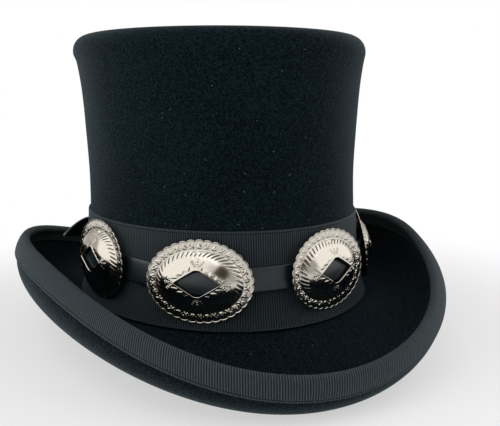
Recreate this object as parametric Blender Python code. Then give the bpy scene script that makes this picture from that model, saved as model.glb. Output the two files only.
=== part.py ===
# Felt top hat: a flared crown and a rolled brim of one felt, a grosgrain band and binding,
# and a leather strap that carries oval conchos round the crown.
# Metres, Z up, the front of the hat towards -Y. The hat rests on the dips of its brim.

import math

import bmesh
import bpy
import numpy as np
from mathutils import Matrix

# Crown, measured over the felt. Its oval is taken at the foot, where the band ends.
CROWN_WIDTH = 0.1750
CROWN_LENGTH = 0.2101
CROWN_HEIGHT = 0.1546
CROWN_FLARE = 0.0082
TIP_EDGE_RADIUS = 0.0090
TIP_MIDDLE_SHARE = 0.55
FELT_WALL = 0.0025
BREAK_RADIUS = 0.0050

# How far the wall stands out of the foot's oval, as shares of CROWN_FLARE
CROWN_SIDE = (
    # share of the height, share of the flare
    (0.00, 0.00),
    (0.25, -0.81),
    (0.50, -1.02),
    (0.75, -0.87),
    (1.00, -0.07),
)

# Brim, measured along its under side from the break to the edge. Angles are from the level.
BRIM = {
    # value: at the front and the back, at the sides, added half way between them
    "width": (0.0894, 0.0653, -0.0028),
    "angle at the break": (-35.0, -4.2, 0.0),
    "angle at the edge": (108.1, 132.6, 29.0),
    "lateness of the curl": (2.46, 1.36, 0.0),
    "height of the break": (0.0035, 0.0051, 0.0),
}
REST_FLAT = 0.0014

# Ribbons
RIBBON_THICKNESS = 0.0010
BINDING_WIDTH = 0.0115
BAND_HEIGHT = 0.0545
CLEARANCE = 0.0003

# Strap
STRAP_WIDTH = 0.0130
STRAP_THICKNESS = 0.0018
STRAP_HEIGHT = 0.0307
STRAP_END_GAP = 0.0050
STRAP_OVERLAP = 0.0120
STRAP_CLIMB = 0.0100
TAIL_LENGTH = 0.0430
TAIL = (
    # share of the length, bend away from the crown, share of the width
    (0.20, 3.0, 1.00),
    (0.45, 6.0, 1.00),
    (0.70, 9.0, 1.00),
    (0.90, 11.0, 0.85),
    (1.00, 12.0, 0.50),
)

# Conchos
CONCHO_WIDTH = 0.0570
CONCHO_HEIGHT = 0.0435
CONCHO_PLACES = 8
CONCHO_START = -71.9
CONCHO_METAL = 0.0009
CONCHO_DOME = 0.0064
CONCHO_STANDOFF = 0.0015
DIAMOND_WIDTH = 0.0247
DIAMOND_HEIGHT = 0.0153
BAR_WIDTH = 0.0070
BAR_THICKNESS = 0.0011
BAR_HEIGHT = 0.0009
STRAP_RISE_LENGTH = 0.0220

# Where each concho has slid to, from its even place on the strap
CONCHO_SLIPS = (
    # along the strap, up the band
    (0.0000, 0.0016),
    (0.0013, -0.0016),
    (-0.0005, 0.0000),
    (0.0008, 0.0000),
    (0.0000, 0.0010),
    (0.0, 0.0),
    (0.0, 0.0),
)

# Concho's face from its edge to the opening, as shares of its outline and of its dome
CONCHO_FACE = (
    # share of the outline, share of the dome
    (1.00, 0.00),
    (0.79, 0.03),
    (0.60, 0.70),
)

# How finely the pieces are divided
SEGMENTS = 54
EDGE_STEPS = 4
WALL_SHARES = (0.80, 0.62, 0.46)
BREAK_STEPS = 3
BRIM_SHARES = (0.24, 0.44, 0.585, 0.705, 0.81, 0.91)
BINDING_STEPS = 2
STRAP_STEPS_A_PITCH = 12
CONCHO_SIDES = 24
INTEGRAL_STEPS = 200

MATERIALS = {
    # name: colour, roughness, metallic
    "wool_felt": ((0.010, 0.012, 0.014), 0.95, 0.0),
    "grosgrain": ((0.020, 0.024, 0.028), 0.75, 0.0),
    "strap_leather": ((0.010, 0.010, 0.012), 0.35, 0.0),
    "nickel_silver": ((0.68, 0.66, 0.62), 0.22, 1.0),
}

for old in list(bpy.data.objects):
    bpy.data.objects.remove(old, do_unlink=True)

hat = bpy.data.collections.new("felt_top_hat")
bpy.context.scene.collection.children.link(hat)


def make_material(name):
    colour, roughness, metallic = MATERIALS[name]
    material = bpy.data.materials.new(name)
    material.use_nodes = True
    shader = material.node_tree.nodes["Principled BSDF"]
    shader.inputs["Base Color"].default_value = (*colour, 1.0)
    shader.inputs["Roughness"].default_value = roughness
    shader.inputs["Metallic"].default_value = metallic
    material.diffuse_color = (*colour, 1.0)
    return material


materials = {name: make_material(name) for name in MATERIALS}


def oval(angle):
    """Points of the foot's oval and its outward normals, for angles from the front."""
    half_width, half_length = CROWN_WIDTH / 2, CROWN_LENGTH / 2
    point = np.stack([half_width * np.sin(angle), -half_length * np.cos(angle)], -1)
    normal = np.stack([np.sin(angle) / half_width, -np.cos(angle) / half_length], -1)
    return point, normal / np.linalg.norm(normal, axis=-1, keepdims=True)


def around(angle, value):
    """A row of BRIM all round: the ends and the sides share by the square of the cosine, and
    the last column is added by the square of the doubled angle's sine."""
    end, side, between = BRIM[value]
    return side + (end - side) * np.cos(angle) ** 2 + between * np.sin(2 * angle) ** 2


def wall_curve():
    """The polynomial through CROWN_SIDE, from height to distance out of the oval."""
    table = np.array(CROWN_SIDE)
    return np.polyfit(table[:, 0] * CROWN_HEIGHT, table[:, 1] * CROWN_FLARE, len(table) - 1)


class Station:
    """One step along the felt's section, for every angle: the inner skin's place and heading.

    The heading is the way from the tip towards the brim's edge, and the felt's outer skin
    lies to the left of it.
    """

    def __init__(self, angle, out, up, heading):
        self.angle = angle
        self.out = out + 0 * angle
        self.up = up + 0 * angle
        self.heading = heading + 0 * angle

    def ring(self, across, along=0.0):
        """The ring this far out of the inner skin and this far on towards the edge."""
        point, normal = oval(self.angle)
        out = self.out - across * np.sin(self.heading) + along * np.cos(self.heading)
        up = self.up + across * np.cos(self.heading) + along * np.sin(self.heading)
        flat = point + normal * out[:, None]
        return np.concatenate([flat, up[:, None]], axis=1)


def wall_station(angle, height):
    """A station on the crown's wall, at this height of the outer skin."""
    curve = wall_curve()
    slope = np.polyval(np.polyder(curve), height)
    heading = np.arctan2(-1.0, -slope)
    out = np.polyval(curve, height) + FELT_WALL * np.sin(heading)
    up = height - FELT_WALL * np.cos(heading)
    return Station(angle, out, up, heading)


def edge_stations(angle):
    """The rounded edge between the tip and the wall."""
    curve = wall_curve()
    height = CROWN_HEIGHT - TIP_EDGE_RADIUS
    slope = np.polyval(np.polyder(curve), height)
    last = np.arctan2(-1.0, -slope)
    centre_out = np.polyval(curve, height) - TIP_EDGE_RADIUS
    inner = TIP_EDGE_RADIUS - FELT_WALL
    for heading in np.linspace(0.0, last, EDGE_STEPS):
        yield Station(angle, centre_out - inner * np.sin(heading), height + inner * np.cos(heading), heading)


def break_start(angle):
    """The lowest station of the wall. It rises towards the sides."""
    return wall_station(angle, around(angle, "height of the break"))


def brim_angle(angle, share):
    """The brim's slope this far from the break, as a share of its width."""
    root = np.radians(around(angle, "angle at the break"))
    edge = np.radians(around(angle, "angle at the edge"))
    return root + (edge - root) * share ** around(angle, "lateness of the curl")


def break_stations(angle):
    """The bend from the wall into the brim."""
    start = break_start(angle)
    last = brim_angle(angle, 0.0)
    for share in np.linspace(0.0, 1.0, BREAK_STEPS + 1)[1:]:
        heading = start.heading + (last - start.heading) * share
        out = start.out + BREAK_RADIUS * (np.sin(heading) - np.sin(start.heading))
        up = start.up - BREAK_RADIUS * (np.cos(heading) - np.cos(start.heading))
        yield Station(angle, out, up, heading)


def brim_station(angle, distance):
    """The station this far from the break, the brim's slope summed up along the way."""
    root = list(break_stations(angle))[-1]
    width = around(angle, "width")
    share = np.linspace(0.0, 1.0, INTEGRAL_STEPS + 1)[:, None] * distance / width
    middle = (share[1:] + share[:-1]) / 2
    slope = brim_angle(angle, middle)
    step = distance / INTEGRAL_STEPS
    out = root.out + (np.cos(slope) * step).sum(axis=0)
    up = root.up + (np.sin(slope) * step).sum(axis=0)
    return Station(angle, out, up, brim_angle(angle, distance / width))


def brim_stations(angle, shares):
    """Stations at these shares of the way from the break to the binding."""
    open_width = around(angle, "width") - BINDING_WIDTH
    return [brim_station(angle, open_width * share) for share in shares]


def binding_stations(angle):
    """Stations under the binding, from its inner border to the brim's edge."""
    width = around(angle, "width")
    borders = np.linspace(BINDING_WIDTH, 0.0, BINDING_STEPS + 1)
    return [brim_station(angle, width - border) for border in borders]


def band_stations(angle):
    """Stations under the hat band, from its top to where it turns out on to the brim."""
    strap_edges = (STRAP_HEIGHT + STRAP_WIDTH / 2, STRAP_HEIGHT - STRAP_WIDTH / 2)
    wall = [wall_station(angle, height) for height in (BAND_HEIGHT, *strap_edges)]
    return wall + [break_start(angle), next(break_stations(angle))]


def floor_level(angle):
    """The height of the surface that the brim's dips rest on."""
    lowest = min(station.up.min() for station in brim_stations(angle, np.linspace(0.5, 1.0, 21)))
    return lowest + REST_FLAT


def add_object(name, mesh_data, material):
    bmesh.ops.recalc_face_normals(mesh_data, faces=mesh_data.faces)
    mesh = bpy.data.meshes.new(name)
    mesh_data.to_mesh(mesh)
    mesh_data.free()
    mesh.materials.append(materials[material])
    item = bpy.data.objects.new(name, mesh)
    hat.objects.link(item)
    return item


def loft(name, rings, material, ends="open"):
    """Faces between rings of equal count. The ends are poles, flat caps or joined round."""
    mesh_data = bmesh.new()
    rows = [[mesh_data.verts.new(point) for point in ring] for ring in rings]
    pairs = list(zip(rows, rows[1:]))
    if ends == "joined":
        pairs.append((rows[-1], rows[0]))
    for first, second in pairs:
        for i in range(len(first)):
            j = (i + 1) % len(first)
            mesh_data.faces.new((first[i], first[j], second[j], second[i]))
    if ends == "poles":
        for row in (rows[0], rows[-1]):
            pole = mesh_data.verts.new(sum((v.co for v in row), row[0].co * 0) / len(row))
            for i in range(len(row)):
                mesh_data.faces.new((row[i], row[(i + 1) % len(row)], pole))
    if ends == "caps":
        mesh_data.faces.new(rows[0])
        mesh_data.faces.new(rows[-1][::-1])
    return add_object(name, mesh_data, material)


angles = np.arange(SEGMENTS) * 2 * math.pi / SEGMENTS
FLOOR = floor_level(angles)


def lifted(ring):
    """The ring on the surface that the hat rests on, none of it below."""
    ring = ring - np.array([0.0, 0.0, FLOOR])
    ring[:, 2] = np.maximum(ring[:, 2], 0.0)
    return ring


def make_felt_body():
    """The crown and the brim, one wall from the tip to the brim's edge and back inside."""
    wall = [wall_station(angles, CROWN_HEIGHT * share) for share in WALL_SHARES]
    stations = list(edge_stations(angles)) + wall + band_stations(angles)[:4]
    stations += list(break_stations(angles)) + brim_stations(angles, BRIM_SHARES) + binding_stations(angles)
    rings = []
    for across in (FELT_WALL, 0.0):
        skin = [lifted(station.ring(across)) for station in stations]
        tip = skin[0] * np.array([TIP_MIDDLE_SHARE, TIP_MIDDLE_SHARE, 1.0])
        skin.insert(0, tip)
        rings += skin if across else skin[::-1]
    return loft("felt_body", rings, "wool_felt", ends="poles")


def make_brim_binding():
    """The ribbon folded over the brim's edge, a little clear of the felt."""
    stations = binding_stations(angles)
    edge = stations[-1]
    near, far = CLEARANCE, CLEARANCE + RIBBON_THICKNESS
    rings = [station.ring(-far) for station in stations]
    rings.append(edge.ring(FELT_WALL / 2, far))
    rings += [station.ring(FELT_WALL + far) for station in stations[::-1]]
    rings += [station.ring(FELT_WALL + near) for station in stations[:-1]]
    rings.append(edge.ring(FELT_WALL + near, near))
    rings.append(edge.ring(-near, near))
    rings += [station.ring(-near) for station in stations[-2::-1]]
    return loft("brim_binding", [lifted(ring) for ring in rings], "grosgrain", ends="joined")


def make_hat_band():
    """The wide ribbon round the foot of the crown, turned out where it meets the brim."""
    stations = band_stations(angles)
    near = FELT_WALL + CLEARANCE
    rings = [station.ring(near + RIBBON_THICKNESS) for station in stations]
    rings += [station.ring(near) for station in stations[::-1]]
    return loft("hat_band", [lifted(ring) for ring in rings], "grosgrain", ends="joined")


def strap_frame(angle, height=STRAP_HEIGHT):
    """A point on the band's face, with its outward normal, the way along and the way up."""
    curve = wall_curve()
    slope = float(np.polyval(np.polyder(curve), height))
    reach = float(np.polyval(curve, height)) + CLEARANCE + RIBBON_THICKNESS
    point, normal = oval(np.array([angle]))
    out = np.array([*normal[0], 0.0])
    up = np.array([0.0, 0.0, 1.0])
    face = (out - slope * up) / math.hypot(1.0, slope)
    rise = (up + slope * out) / math.hypot(1.0, slope)
    place = np.array([*(point[0] + normal[0] * reach), height - FLOOR])
    return place, face, np.cross(rise, face), rise


def angle_table():
    """Angles from the front and the lengths along the band's face at the strap's height."""
    fine = np.linspace(-2 * math.pi, 2 * math.pi, 8 * 360 + 1)
    places = np.array([strap_frame(angle)[0] for angle in fine])
    steps = np.linalg.norm(np.diff(places, axis=0), axis=1)
    return fine, np.concatenate([[0.0], np.cumsum(steps)])


fine_angles, fine_lengths = angle_table()
strap_round = (fine_lengths[-1] - fine_lengths[0]) / 2
# One place of the even spacing stays empty, where the strap's ends meet
concho_pitch = strap_round / CONCHO_PLACES
first_length = float(np.interp(math.radians(CONCHO_START), fine_angles, fine_lengths))
concho_lengths = [first_length + i * concho_pitch + slip for i, (slip, _) in enumerate(CONCHO_SLIPS)]
concho_rises = [up for _, up in CONCHO_SLIPS]


def strap_place(length):
    """The strap's frame on the band this far along it, as high as its nearest conchos set it."""
    ends = [concho_lengths[-1] - strap_round, *concho_lengths, concho_lengths[0] + strap_round]
    ups = [concho_rises[-1], *concho_rises, concho_rises[0]]
    wrapped = (length - ends[0]) % strap_round + ends[0]
    after = next(i for i in range(1, len(ends)) if wrapped <= ends[i])
    share = (wrapped - ends[after - 1]) / (ends[after] - ends[after - 1])
    eased = math.sin(math.pi / 2 * share) ** 2
    height = STRAP_HEIGHT + ups[after - 1] + (ups[after] - ups[after - 1]) * eased
    return strap_frame(float(np.interp(wrapped, fine_lengths, fine_angles)), height)


def strap_rise(length):
    """How far the strap stands off its bed: it climbs over the bar at the back of each concho."""
    top = CONCHO_STANDOFF + BAR_HEIGHT + BAR_THICKNESS
    away = min(abs((length - c + strap_round / 2) % strap_round - strap_round / 2) for c in concho_lengths)
    flat = BAR_WIDTH / 2 + concho_pitch / STRAP_STEPS_A_PITCH
    share = min(max((away - flat) / (STRAP_RISE_LENGTH - flat), 0.0), 1.0)
    return top * math.cos(math.pi / 2 * share) ** 2


def strap_section(place, face, rise, share=1.0):
    half = STRAP_WIDTH / 2 * share
    near = place
    far = place + face * STRAP_THICKNESS
    return np.array([near - rise * half, far - rise * half, far + rise * half, near + rise * half])


def make_concho_strap():
    """One strap round the band, its outer end over the inner one, with a free tail."""
    step = concho_pitch / STRAP_STEPS_A_PITCH
    begin = concho_lengths[-1] + CONCHO_WIDTH / 2 + STRAP_END_GAP - strap_round
    end = begin + strap_round + STRAP_OVERLAP
    climb = end - STRAP_OVERLAP - CLEARANCE - STRAP_CLIMB
    steps = round((end - begin) / step)
    rings = []
    for length in np.linspace(begin, end, steps + 1):
        place, face, back, rise = strap_place(length)
        lap = min(max((length - climb) / STRAP_CLIMB, 0.0), 1.0)
        lift = CLEARANCE + strap_rise(length) + lap * (STRAP_THICKNESS + CLEARANCE)
        rings.append(strap_section(place + face * lift, face, rise))
    near = rings[-1][[0, 3]].mean(axis=0)
    done = 0.0
    for share, bend, width in TAIL:
        turn = math.radians(bend)
        way = math.sin(turn) * face + math.cos(turn) * back
        outward = math.cos(turn) * face - math.sin(turn) * back
        near = near + way * (share - done) * TAIL_LENGTH
        done = share
        rings.append(strap_section(near, outward, rise, width))
    return loft("concho_strap", rings, "strap_leather", ends="caps")


def oval_ring(width, height, depth):
    turn = np.arange(CONCHO_SIDES) * 2 * math.pi / CONCHO_SIDES
    return np.stack([width / 2 * np.cos(turn), height / 2 * np.sin(turn), depth + 0 * turn], -1)


def diamond_ring(depth):
    turn = np.arange(CONCHO_SIDES) * 2 * math.pi / CONCHO_SIDES
    reach = 1 / (np.abs(np.cos(turn)) / (DIAMOND_WIDTH / 2) + np.abs(np.sin(turn)) / (DIAMOND_HEIGHT / 2))
    return np.stack([reach * np.cos(turn), reach * np.sin(turn), depth + 0 * turn], -1)


def make_concho(number, length):
    """A domed oval with a diamond opening, and a bar across its back for the strap."""
    dome = CONCHO_DOME - CONCHO_METAL
    face = [oval_ring(CONCHO_WIDTH * size, CONCHO_HEIGHT * size, CONCHO_METAL + dome * depth)
            for size, depth in CONCHO_FACE]
    back = [oval_ring(CONCHO_WIDTH * size - CONCHO_METAL, CONCHO_HEIGHT * size - CONCHO_METAL, dome * depth)
            for size, depth in CONCHO_FACE[1:]]
    rings = [oval_ring(CONCHO_WIDTH, CONCHO_HEIGHT, 0.0)] + face
    rings += [diamond_ring(CONCHO_DOME), diamond_ring(dome)] + back[::-1]
    name = f"concho_{number}"
    item = loft(name, rings, "nickel_silver", ends="joined")
    foot, _ = CONCHO_FACE[1]
    bpy.ops.mesh.primitive_cube_add(size=1.0)
    bar = bpy.context.object
    bar.name = name + "_bar"
    bar_length = CONCHO_HEIGHT * foot - 2.4 * CONCHO_METAL
    bar.data.transform(Matrix.Diagonal((BAR_WIDTH, bar_length, BAR_THICKNESS, 1.0)))
    bar.data.transform(Matrix.Translation((0.0, 0.0, BAR_HEIGHT + BAR_THICKNESS / 2)))
    union = item.modifiers.new("bar", "BOOLEAN")
    union.operation = "UNION"
    union.solver = "EXACT"
    union.object = bar
    place, out, along, rise = strap_place(length)
    place = place + out * CONCHO_STANDOFF
    turned = Matrix((along, rise, out)).transposed().to_4x4()
    item.matrix_world = Matrix.Translation(place) @ turned
    bar.parent = item
    bar.hide_render = True
    bar.display_type = "WIRE"
    return item, bar


make_felt_body()
make_brim_binding()
make_hat_band()
make_concho_strap()

cutters = bpy.data.collections.new("joined_bars")
bpy.context.scene.collection.children.link(cutters)
for index, at_length in enumerate(concho_lengths):
    _, back_bar = make_concho(index + 1, at_length)
    for holder in list(back_bar.users_collection):
        holder.objects.unlink(back_bar)
    cutters.objects.link(back_bar)
cutters.hide_render = True
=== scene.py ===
import math

import bpy
import numpy as np
from mathutils import Matrix, Vector


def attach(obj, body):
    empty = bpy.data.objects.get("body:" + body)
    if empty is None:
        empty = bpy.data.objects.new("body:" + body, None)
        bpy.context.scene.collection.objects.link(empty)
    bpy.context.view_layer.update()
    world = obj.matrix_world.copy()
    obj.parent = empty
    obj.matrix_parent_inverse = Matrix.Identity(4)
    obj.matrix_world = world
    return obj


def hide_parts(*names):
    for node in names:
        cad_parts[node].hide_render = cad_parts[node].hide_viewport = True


# Looks for the felt top hat: brushed felt, ribbed ribbons, a leather strap and stamped conchos.
# Lengths are in metres and angles in degrees, unless a name ends in Mm or a comment says otherwise.
# Angles round the hat are 0 at its front and grow towards the wearer's left.
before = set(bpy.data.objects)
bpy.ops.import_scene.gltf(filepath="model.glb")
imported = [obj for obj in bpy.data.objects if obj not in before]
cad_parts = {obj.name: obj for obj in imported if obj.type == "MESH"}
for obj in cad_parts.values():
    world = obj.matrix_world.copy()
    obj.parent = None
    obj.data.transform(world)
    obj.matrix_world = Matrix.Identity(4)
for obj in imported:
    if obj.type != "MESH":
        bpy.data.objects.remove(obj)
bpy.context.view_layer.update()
print("frame loaded:", len(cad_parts), "nodes")

mmInMetre = 1000
mixA, mixB, mixOut = 6, 7, 2   # colour sockets of a Mix node


# sRGB hex to linear light
def hexToLinear(text):
    values = np.array([int(text[i:i + 2], 16) for i in (1, 3, 5)]) / 255
    linear = np.where(values <= 0.04045, values / 12.92, ((values + 0.055) / 1.055) ** 2.4)
    return (*linear.tolist(), 1.0)


# One node with its settings; a socket is set from a value or linked from another socket
def addNode(tree, kind, sockets=None, **settings):
    node = tree.nodes.new(kind)
    for key, value in settings.items():
        setattr(node, key, value)
    for key, value in (sockets or {}).items():
        if isinstance(value, bpy.types.NodeSocket):
            tree.links.new(value, node.inputs[key])
        else:
            node.inputs[key].default_value = value
    return node


# A new material with a Principled shader whose own sockets hold what is the same all over
def startMaterial(name, **sockets):
    material = bpy.data.materials.new(name)
    material.use_nodes = True
    tree = material.node_tree
    shader = tree.nodes["Principled BSDF"]
    for key, value in sockets.items():
        shader.inputs[key.replace("_", " ")].default_value = value
    return material, tree, shader


# Even rise from 0 at the start to 1 at the end, held outside them
def ramp(value, start, end):
    return np.clip((value - start) / (end - start), 0, 1)


# The same rise with soft ends: 3 t^2 - 2 t^3
def ease(share):
    return share * share * (3 - 2 * share)


# A mesh from a grid of points: quads between neighbours, closed across its columns, and across its rows
# too where asked, or with fans to a pole at each end. uv has a value for each grid corner, one more
# column or row where it wraps. extra holds the points and faces of a second shell.
def addSurface(name, grid, material, wrapRows=False, poles=False, uv=None, flip=False,
               attributes=None, extra=None):
    rows, columns = grid.shape[:2]
    index = np.arange(rows * columns).reshape(rows, columns)
    index = np.concatenate([index, index[:, :1]], 1)
    if wrapRows:
        index = np.concatenate([index, index[:1]], 0)
    quads = np.stack([index[:-1, :-1], index[1:, :-1], index[1:, 1:], index[:-1, 1:]], -1).reshape(-1, 4)
    points = grid.reshape(-1, 3)
    faces = [quads]
    if poles:
        ends = np.array([grid[0].mean(0), grid[-1].mean(0)])
        first, last = len(points), len(points) + 1
        points = np.concatenate([points, ends])
        faces.append(np.stack([index[0, :-1], index[0, 1:], first + 0 * index[0, 1:]], -1))
        faces.append(np.stack([index[-1, 1:], index[-1, :-1], last + 0 * index[-1, 1:]], -1))
    if extra is not None:
        morePoints, moreFaces = extra
        faces.append(moreFaces + len(points))
        points = np.concatenate([points, morePoints])
    if flip:
        faces = [block[:, ::-1] for block in faces]
    mesh = bpy.data.meshes.new(name)
    mesh.from_pydata(points.tolist(), [], [face for block in faces for face in block.tolist()])
    mesh.polygons.foreach_set("use_smooth", np.ones(len(mesh.polygons), bool))
    if uv is not None:
        layer = mesh.uv_layers.new(name="ribbon")
        blocks = [uv[:-1, :-1], uv[1:, :-1], uv[1:, 1:], uv[:-1, 1:]]
        values = np.stack(blocks, -2).reshape(-1, 4, 2)
        if flip:
            values = values[:, ::-1]
        layer.data.foreach_set("uv", values.reshape(-1).astype(np.float32))
    for key, values in (attributes or {}).items():
        store = mesh.attributes.new(key, "FLOAT", "POINT")
        full = np.zeros(len(points), np.float32)
        full[:values.size] = values.reshape(-1)
        store.data.foreach_set("value", full)
    mesh.materials.append(material)
    mesh.update()
    item = bpy.data.objects.new(name, mesh)
    bpy.context.scene.collection.objects.link(item)
    return item


# Takes the place of a solid: hung under the root, and the solid hidden
def finishPiece(item, node):
    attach(item, "root")
    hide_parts(node)


# The hat's section and oval, the same as the solids have
hatForm = {
    "crownWidth": 0.1750,
    "crownLength": 0.2101,
    "crownHeight": 0.1546,
    "flare": 0.0082,
    "sideHeights": (0.00, 0.25, 0.50, 0.75, 1.00),   # shares of the height
    "sideReaches": (0.00, -0.81, -1.02, -0.87, -0.07),   # shares of the flare
    "tipRadius": 0.0090,
    "tipDome": 0.0006,
    "wall": 0.0025,
    "breakRadius": 0.0050,
    # each of these is at the ends, at the sides, and added between them
    "brimWidth": (0.0894, 0.0653, -0.0028),
    "breakAngle": (-35.0, -4.2, 0.0),
    "edgeAngle": (108.1, 132.6, 29.0),
    "lateness": (2.46, 1.36, 0.0),
    "breakHeight": (0.0035, 0.0051, 0.0),
    "restFlat": 0.0014,   # how far the lowest felt is flattened by its rest
    "brimSteps": 240,
    "lowestPart": (0.4, 0.9, 400),   # shares of the brim's width that are searched, and how finely
}

crownFit = np.polyfit(np.array(hatForm["sideHeights"]) * hatForm["crownHeight"],
                      np.array(hatForm["sideReaches"]) * hatForm["flare"], 4)
crownSlope = np.polyder(crownFit)


# Oval all round: p(a) = (w sin a, -l cos a), with the outward normal (sin a / w, -cos a / l) made a unit
def ovalRing(angle):
    halfWidth, halfLength = hatForm["crownWidth"] / 2, hatForm["crownLength"] / 2
    point = np.stack([halfWidth * np.sin(angle), -halfLength * np.cos(angle)], -1)
    normal = np.stack([np.sin(angle) / halfWidth, -np.cos(angle) / halfLength], -1)
    return point, normal / np.linalg.norm(normal, axis=-1, keepdims=True)


# Value round the hat: side + (end - side) cos^2 a + between sin^2 2a
def around(angle, name):
    end, side, between = hatForm[name]
    return side + (end - side) * np.cos(angle) ** 2 + between * np.sin(2 * angle) ** 2


# The functions below give stations of the inner skin: distance out from the oval, height, and heading.
# Crown wall: out(h) is the polynomial through the side table; the heading runs down the wall
def wallRows(height):
    slope = np.polyval(crownSlope, height)
    heading = np.arctan2(-1.0, -slope)
    out = np.polyval(crownFit, height) + hatForm["wall"] * np.sin(heading)
    return out, height - hatForm["wall"] * np.cos(heading), heading


# Rounded edge of the tip: a quarter circle from level to the wall's heading
def edgeRows(shares):
    height = hatForm["crownHeight"] - hatForm["tipRadius"]
    last = np.arctan2(-1.0, -np.polyval(crownSlope, height))
    heading = last * shares
    inner = hatForm["tipRadius"] - hatForm["wall"]
    centre = np.polyval(crownFit, height) - hatForm["tipRadius"]
    return centre - inner * np.sin(heading), height + inner * np.cos(heading), heading


# Slope of the brim: root + (edge - root) share^lateness
def brimSlope(angle, share):
    root = np.radians(around(angle, "breakAngle"))
    edge = np.radians(around(angle, "edgeAngle"))
    return root + (edge - root) * share ** around(angle, "lateness")


# Bend from the wall into the brim: an arc whose heading goes evenly from one to the other
def breakRows(angle, shares):
    out, up, first = wallRows(around(angle, "breakHeight"))
    heading = first + (brimSlope(angle, 0.0) - first) * shares
    radius = hatForm["breakRadius"]
    bentOut = out + radius * (np.sin(heading) - np.sin(first))
    bentUp = up - radius * (np.cos(heading) - np.cos(first))
    return bentOut, bentUp, heading


# Brim: the break's end plus the running sums of cos and sin of the slope, read off at each distance
def brimRows(angle, distance):
    steps = hatForm["brimSteps"]
    out, up, _ = breakRows(angle, 1.0)
    width = around(angle, "brimWidth")
    middle = (np.arange(steps)[:, None] + 0.5) / steps
    slope = brimSlope(angle, middle)
    nothing = 0 * angle[None]
    sums = [np.concatenate([nothing, np.cumsum(part(slope), 0) / steps]) * width
            for part in (np.cos, np.sin)]
    share = np.clip(distance / width, 0, 1) * steps
    low = np.minimum(share.astype(int), steps - 1)
    part = share - low
    reach, rise = [np.take_along_axis(total, low, 0) * (1 - part)
                   + np.take_along_axis(total, low + 1, 0) * part for total in sums]
    return out + reach, up + rise, brimSlope(angle, distance / width)


# The resting height: the lowest of the inner skin at the front, less the flattened depth
frontLine = np.array([0.0])
lowestPart = np.linspace(*hatForm["lowestPart"])[:, None]
_, frontUp, _ = brimRows(frontLine, lowestPart * around(frontLine, "brimWidth"))
floorUp = float(frontUp.min()) + hatForm["restFlat"]


# Points of a skin: station + across the section + along it, set off the oval along its normal.
# None of them goes below the surface that the hat rests on.
def skin(angle, station, across=0.0, along=0.0):
    out, up, heading = np.broadcast_arrays(*station)
    out, up, heading = [np.broadcast_to(v, (v.shape[0], len(angle))) for v in (out, up, heading)]
    point, normal = ovalRing(angle)
    reach = out - across * np.sin(heading) + along * np.cos(heading)
    height = up + across * np.cos(heading) + along * np.sin(heading) - floorUp
    flat = point[None] + normal[None] * reach[..., None]
    return np.concatenate([flat, np.maximum(height, 0.0)[..., None]], -1)


# Several stations one after another
def joinRows(angle, *groups):
    full = [[np.broadcast_to(v, (np.shape(v)[0], len(angle))) for v in group] for group in groups]
    return tuple(np.concatenate([group[i] for group in full]) for i in range(3))


# Felt: how finely it is laid out, how far hand shaping leaves it uneven, and its colours
feltLook = {
    "columns": 288,
    "wallRows": 46,
    "brimRows": 40,
    "tipRows": 12,
    "breakRows": 8,
    "edgeRows": 9,
    "tipRings": (0.04, 0.12, 0.25, 0.40, 0.55, 0.70, 0.82, 0.92),   # shares of the way out over the tip
    "easeDown": 0.040,   # how far below the tip's edge the wall takes its own curve
    "fullness": 0.0008,   # how far blocking leaves the upper wall fuller than its curve
    "fullFrom": 0.070,
    "wave": 0.00035,
    "waveHeights": (0.062, 0.112),   # where the waves begin above the band, and where they are whole
    # waves: how many round the hat, radians on at the front, radians more for each metre up, share
    "waves": ((3, 0.7, 18, 1.0), (5, -1.9, -31, 0.7), (8, 0.0, 44, 0.5)),
    "darkFibre": "#03080b",
    "lightFibre": "#17252c",
    "fuzz": "#adbdc2",
    "fuzzWeight": 0.42,
    "clumpMm": 1.2,
    "fibreMm": 0.6,
    "patchMm": 45.45,
    "patchShare": 0.10,
    "fibreRange": (0.22, 0.41),
    "napDepth": 0.0005,
    "lintMm": 3.0,   # size of the cells that may hold a speck
    "lintReach": 0.10,
    "lintShare": 0.12,
    "lintColour": "#5a6a70",
}


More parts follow.
